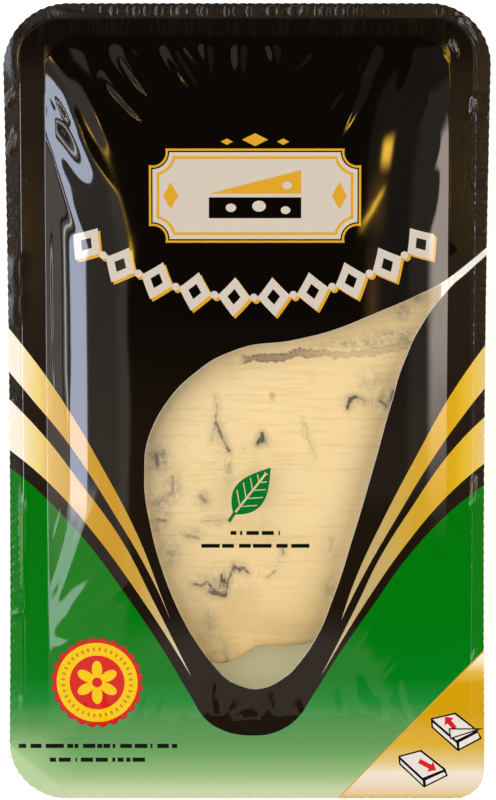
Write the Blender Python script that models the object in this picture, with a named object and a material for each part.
# A sealed pack of gorgonzola: a clear wedge-shaped tray, the cheese in it, and a film sealed on its rim.
# Metres, +Z up. The thick end points to +Y. The origin is on the ground, under the middle of the pack.

import math

import bmesh
import bpy

# Rim: the flat flange that the film is sealed on, in a plane that rises towards the thick end
RIM_TILT = math.radians(7.0)
RIM_MIDDLE_HEIGHT = 0.0204
RIM_WIDTH = 0.1215
RIM_LENGTH = 0.202
RIM_WAIST = 0.0007  # how far each long side is drawn in at its middle
WAIST_REACH = 0.085
RIM_RADII = (0.0146, 0.0075, 0.0155, 0.0165)  # thin end left and right, thick end right and left

# Tray: one formed sheet of plastic
SHEET = 0.0007
CAVITY_HALF_WIDTH = 0.0504
CAVITY_LOW = -0.0846
CAVITY_HIGH = 0.0926
CAVITY_RADII = (0.013, 0.013, 0.0095, 0.0095)
LIP_RADIUS = 0.0012
WALL_DRAFT = 0.14  # inward run of the wall for each unit of depth
FLOOR_RADIUS = 0.003

# Lid film: sealed flat on the rim and slightly domed over the cavity
FILM_THICKNESS = 0.00035
FILM_GAP = 0.0003
DOME_HEIGHT = 0.0022
DOME_POWER = 2.6
FILM_WAVES = ((0.00012, 230.0, 60.0, 0.4), (0.0001, -110.0, 190.0, 1.7), (0.00008, 310.0, -240.0, 2.9))
FILM_CELLS = (30, 48)

# Cheese: a wedge with soft edges that fills the tray up to its empty thin end
CHEESE_LEFT = 0.0012
CHEESE_RIGHT = 0.0006
CHEESE_LOW = -0.064
CHEESE_HIGH = 0.0835
CHEESE_RADII = (0.008, 0.006, 0.006, 0.006)
CHEESE_CLEAR_UNDER_FILM = (0.0046, 0.003)  # at the thin end and at the thick end
CHEESE_GAP = 0.0003
TOP_ROUNDING = 0.0024
FOOT_ROUNDING = 0.0034
SIDE_RINGS = ((0.03, 0.0008), (0.12, 0.0), (0.5, 0.0), (0.8, 0.0), (0.94, 0.0012))  # depth share, inset
TIP_STEP = 0.0024  # the left part of the thin end reaches this much further, and the right part less
TIP_STEP_WIDTH = 0.0045
TIP_LUMPS = (0.0004, 410.0, 0.6)
CHEESE_WAVES = ((0.00035, 75.0, 38.0, 0.9), (0.00025, -52.0, 96.0, 2.2), (0.0002, 150.0, 70.0, 4.1))
CHEESE_CELLS = (20, 30)

CORNER_STEPS = 8
SIDE_STEPS = 6
FLOOR_STEPS = 3
LIP_STEPS = 3
SMOOTH_ANGLE = math.radians(35.0)


def clear_scene():
    for item in list(bpy.data.objects):
        bpy.data.objects.remove(item, do_unlink=True)


def on_rim(across, along, above=0.0):
    """The place of a point given across, along and above the rim plane."""
    y = along * math.cos(RIM_TILT) - above * math.sin(RIM_TILT)
    z = RIM_MIDDLE_HEIGHT + along * math.sin(RIM_TILT) + above * math.cos(RIM_TILT)
    return (across, y, z)


def rim_height(along):
    return RIM_MIDDLE_HEIGHT + along * math.sin(RIM_TILT)


def waisted(across, along):
    """Draws the long sides in towards their middle."""
    share = max(0.0, 1.0 - (along / WAIST_REACH) ** 2)
    return across * (1.0 - RIM_WAIST * share / (RIM_WIDTH / 2))


def outline(left, right, low, high, radii, inset=0.0):
    """A rounded rectangle as points (across, along), counter-clockwise from the left of its thin end."""
    left, right = left + inset, right - inset
    low, high = low + inset, high - inset
    radii = [max(radius - inset, 0.0004) for radius in radii]
    corners = ((left, low, 1, 1), (right, low, -1, 1), (right, high, -1, -1), (left, high, 1, -1))
    points = []
    for number, (x, y, x_in, y_in) in enumerate(corners):
        radius = radii[number]
        start = math.pi + number * math.pi / 2
        for step in range(CORNER_STEPS + 1):
            angle = start + step * math.pi / 2 / CORNER_STEPS
            points.append((x + radius * (x_in + math.cos(angle)), y + radius * (y_in + math.sin(angle))))
        following = corners[(number + 1) % 4]
        reach = radii[(number + 1) % 4]
        begin = points[-1]
        if number % 2 == 0:
            end = (following[0] + reach * following[2], begin[1])
        else:
            end = (begin[0], following[1] + reach * following[3])
        for step in range(1, SIDE_STEPS):
            share = step / SIDE_STEPS
            points.append((begin[0] + share * (end[0] - begin[0]), begin[1] + share * (end[1] - begin[1])))
    return points


def rim_outline(inset=0.0):
    half_width, half_length = RIM_WIDTH / 2, RIM_LENGTH / 2
    points = outline(-half_width, half_width, -half_length, half_length, RIM_RADII, inset)
    return [(waisted(across, along), along) for across, along in points]


def cavity_outline(inset):
    return outline(-CAVITY_HALF_WIDTH, CAVITY_HALF_WIDTH, CAVITY_LOW, CAVITY_HIGH, CAVITY_RADII, inset)


def wall_ring(sheet, lift, floor_inset=0.0):
    """A level ring round the drafted wall, at the height lift. The sheet is how far it lies outside the cavity."""
    middle = (CAVITY_LOW + CAVITY_HIGH) / 2
    half_width = CAVITY_HALF_WIDTH + sheet
    half_length = (CAVITY_HIGH - CAVITY_LOW) / 2 + sheet
    ring = []
    for across, along in cavity_outline(-sheet):
        run = WALL_DRAFT * (rim_height(along) - lift) + floor_inset
        inner_along = middle + (along - middle) * (1 - run / half_length)
        ring.append((across * (1 - run / half_width), inner_along * math.cos(RIM_TILT), lift))
    return ring


def join_borders(mesh, lower, upper):
    count = len(lower)
    for index in range(count):
        following = (index + 1) % count
        mesh.faces.new((lower[index], lower[following], upper[following], upper[index]))


def loft(mesh, rings):
    """Joins closed rings of equal count, from the first to the last, and caps the two ends."""
    loops = [[mesh.verts.new(point) for point in ring] for ring in rings]
    for lower, upper in zip(loops, loops[1:]):
        join_borders(mesh, lower, upper)
    mesh.faces.new(loops[0][::-1])
    mesh.faces.new(loops[-1])


def add_piece(name, mesh, color, roughness, alpha=1.0):
    """Turns a closed mesh into a smooth object with its own material."""
    bmesh.ops.recalc_face_normals(mesh, faces=mesh.faces)
    if mesh.calc_volume(signed=True) < 0:
        bmesh.ops.reverse_faces(mesh, faces=mesh.faces)
    data = bpy.data.meshes.new(name)
    mesh.to_mesh(data)
    mesh.free()
    data.shade_smooth()
    data.set_sharp_from_angle(angle=SMOOTH_ANGLE)
    material = bpy.data.materials.new(name)
    material.use_nodes = True
    shader = material.node_tree.nodes["Principled BSDF"]
    shader.inputs["Base Color"].default_value = (*color, 1.0)
    shader.inputs["Roughness"].default_value = roughness
    shader.inputs["Metallic"].default_value = 0.0
    shader.inputs["Alpha"].default_value = alpha
    data.materials.append(material)
    piece = bpy.data.objects.new(name, data)
    bpy.context.scene.collection.objects.link(piece)
    return piece


def quarter_turn(steps):
    return [step * math.pi / 2 / steps for step in range(steps + 1)]


def make_tray():
    """The sheet runs from the floor up the outside of the wall, round the rim and down the inside."""
    outer, inner, under_lip, over_lip = [], [], [], []
    for angle in quarter_turn(FLOOR_STEPS):
        far, near = 1 - math.cos(angle), 1 - math.sin(angle)
        outer.append(wall_ring(SHEET, (FLOOR_RADIUS + SHEET) * near, (FLOOR_RADIUS + SHEET) * far))
        inner.append(wall_ring(0.0, SHEET + FLOOR_RADIUS * near, FLOOR_RADIUS * far))
    for angle in quarter_turn(LIP_STEPS):
        for lip, radius in ((over_lip, LIP_RADIUS), (under_lip, LIP_RADIUS - SHEET)):
            spread = LIP_RADIUS - radius * math.sin(angle)
            drop = LIP_RADIUS - radius * math.cos(angle)
            lip.append([on_rim(across, along, -drop) for across, along in cavity_outline(-spread)])
    rim_under = [on_rim(across, along, -SHEET) for across, along in rim_outline()]
    rim_over = [on_rim(across, along) for across, along in rim_outline()]
    mesh = bmesh.new()
    loft(mesh, outer[::-1] + under_lip[::-1] + [rim_under, rim_over] + over_lip + inner)
    return add_piece("tray", mesh, (0.86, 0.88, 0.87), 0.12, 0.3)


def rounded_place(a, b, box, radii):
    """Maps a and b, each from -1 to 1, into a rounded rectangle given as left, right, low, high."""
    left, right, low, high = box
    x = (left + right) / 2 + a * (right - left) / 2
    y = (low + high) / 2 + b * (high - low) / 2
    corner = (0 if a < 0 else 1) if b < 0 else (3 if a < 0 else 2)
    radius = radii[corner]
    side = -1 if a < 0 else 1
    end = -1 if b < 0 else 1
    centre_x = (left + radius) if a < 0 else (right - radius)
    centre_y = (low + radius) if b < 0 else (high - radius)
    p = (x - centre_x) * side / radius
    q = (y - centre_y) * end / radius
    if p > 0 and q > 0:
        x = centre_x + side * radius * p * math.sqrt(1 - q * q / 2)
        y = centre_y + end * radius * q * math.sqrt(1 - p * p / 2)
    return x, y


def waves(rows, across, along):
    return sum(size * math.sin(kx * across + ky * along + phase) for size, kx, ky, phase in rows)


def grid(mesh, cells, place):
    """A sheet of triangles over a and b from -1 to 1."""
    columns, rows = cells
    spots = [
        [mesh.verts.new(place(2 * i / columns - 1, 2 * j / rows - 1)) for i in range(columns + 1)]
        for j in range(rows + 1)
    ]
    for j in range(rows):
        for i in range(columns):
            corners = (spots[j][i], spots[j][i + 1], spots[j + 1][i + 1], spots[j + 1][i])
            mesh.faces.new(corners[:3])
            mesh.faces.new((corners[0], corners[2], corners[3]))
    border = spots[0][:-1] + [row[-1] for row in spots[:-1]] + spots[-1][:0:-1]
    border += [row[0] for row in spots[:0:-1]]
    return border


def dome(across, along):
    """How far the film stands above the rim plane."""
    middle = (CAVITY_LOW + CAVITY_HIGH) / 2
    a = min(1.0, abs(across) / CAVITY_HALF_WIDTH)
    b = min(1.0, abs(along - middle) / ((CAVITY_HIGH - CAVITY_LOW) / 2))
    swell = (1 - a**DOME_POWER) * (1 - b ** (2 * DOME_POWER))
    return swell * (DOME_HEIGHT + waves(FILM_WAVES, across, along))


def make_film():
    half_width, half_length = RIM_WIDTH / 2, RIM_LENGTH / 2
    box = (-half_width, half_width, -half_length, half_length)

    def at(level):
        def place(a, b):
            across, along = rounded_place(a, b, box, RIM_RADII)
            across = waisted(across, along)
            return on_rim(across, along, FILM_GAP + level + dome(across, along))

        return place

    mesh = bmesh.new()
    under = grid(mesh, FILM_CELLS, at(0.0))
    over = grid(mesh, FILM_CELLS, at(FILM_THICKNESS))
    join_borders(mesh, under, over)
    return add_piece("lid_film", mesh, (0.02, 0.02, 0.018), 0.2)


def cheese_clear(along):
    """How far the top of the cheese lies under the rim plane."""
    share = (along - CHEESE_LOW) / (CHEESE_HIGH - CHEESE_LOW)
    low, high = CHEESE_CLEAR_UNDER_FILM
    return low + share * (high - low)


def cheese_place(a, b, depth_share, inset):
    """A point of the cheese: depth_share 0 is its top face and 1 its foot on the tray's floor."""
    floor_z = SHEET + CHEESE_GAP
    box = (-CAVITY_HALF_WIDTH + CHEESE_LEFT, CAVITY_HALF_WIDTH - CHEESE_RIGHT, CHEESE_LOW, CHEESE_HIGH)
    across, along = rounded_place(a, b, box, CHEESE_RADII)
    size, turns, phase = TIP_LUMPS
    tip = TIP_STEP * math.tanh(across / TIP_STEP_WIDTH) + size * math.sin(turns * across + phase)
    along += tip * max(0.0, -b) ** 6
    top_z = rim_height(along) - cheese_clear(along) + waves(CHEESE_WAVES, across, along)
    z = top_z + depth_share * (floor_z - top_z)
    depth = rim_height(along) - z
    run = WALL_DRAFT * depth + inset
    half_width = CAVITY_HALF_WIDTH
    middle = (CHEESE_LOW + CHEESE_HIGH) / 2
    half_length = (CHEESE_HIGH - CHEESE_LOW) / 2
    across *= (half_width - run) / half_width
    along = middle + (along - middle) * (half_length - inset - WALL_DRAFT * 0.5 * depth * abs(b)) / half_length
    return (across, along * math.cos(RIM_TILT), z)


def make_cheese():
    mesh = bmesh.new()
    top = grid(mesh, CHEESE_CELLS, lambda a, b: cheese_place(a, b, 0.0, TOP_ROUNDING))
    foot = grid(mesh, CHEESE_CELLS, lambda a, b: cheese_place(a, b, 1.0, FOOT_ROUNDING))
    columns, rows = CHEESE_CELLS
    edge = [(2 * i / columns - 1, -1) for i in range(columns)]
    edge += [(1, 2 * j / rows - 1) for j in range(rows)]
    edge += [(1 - 2 * i / columns, 1) for i in range(columns)]
    edge += [(-1, 1 - 2 * j / rows) for j in range(rows)]
    rings = []
    for share, inset in SIDE_RINGS:
        rings.append([mesh.verts.new(cheese_place(a, b, share, inset)) for a, b in edge])
    border = top
    for ring in rings + [foot]:
        join_borders(mesh, ring, border)
        border = ring
    return add_piece("cheese", mesh, (0.86, 0.71, 0.42), 0.5)


clear_scene()
make_tray()
make_film()
make_cheese()
